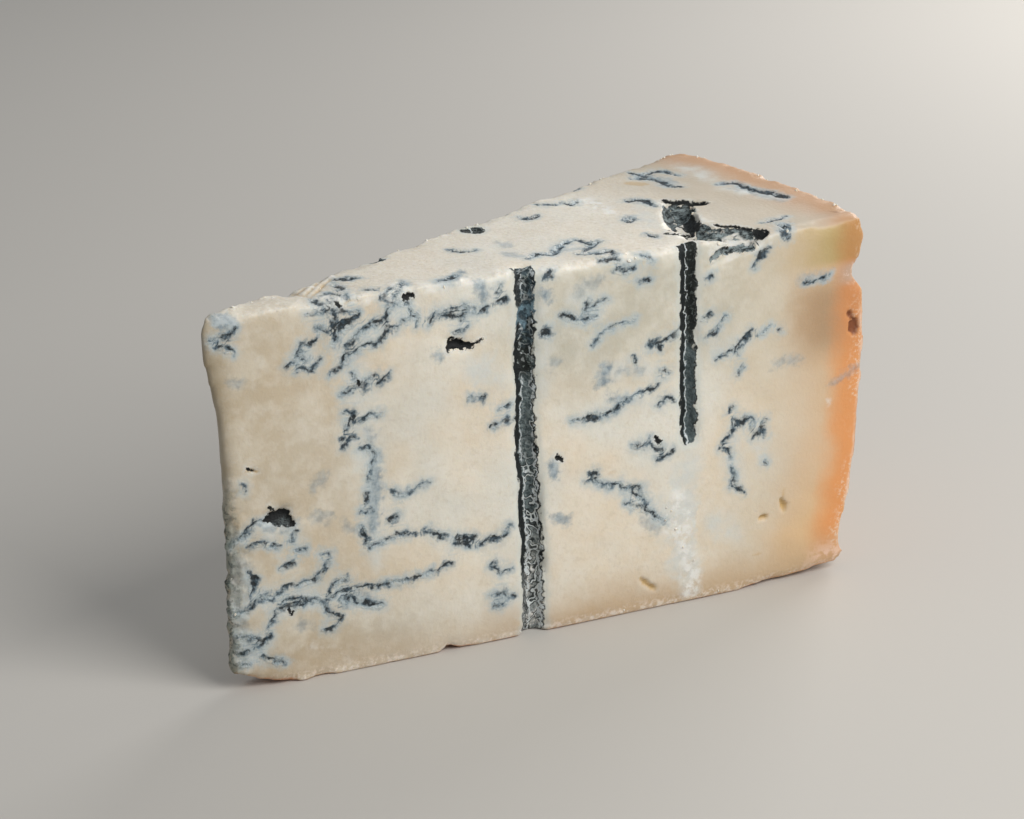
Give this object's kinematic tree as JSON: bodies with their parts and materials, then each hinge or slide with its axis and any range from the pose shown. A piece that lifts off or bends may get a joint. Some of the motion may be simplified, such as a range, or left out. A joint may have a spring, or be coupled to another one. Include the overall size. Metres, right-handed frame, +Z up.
{
  "type": "blue cheese wedge",
  "caption": "Wedge of soft blue-veined cheese cut from a half wheel, with needle channels, mould hollows, crumbled edges and a thin rind on its curved end.",
  "frame": {"origin": "middle of the wedge's bounding box in plan, on its foot", "axes": "+Z up, +X along the front cut from the tip towards the rind, +Y from the front cut towards the back cut"},
  "size_m": [0.1483, 0.0597, 0.081],
  "materials": {
    "cheese": "moist, slightly waxy cut paste with blue-grey mould veins and an ochre rind"
  },
  "bodies": {
    "root": {"cheese_wedge": "cheese"}
  },
  "joints": []
}
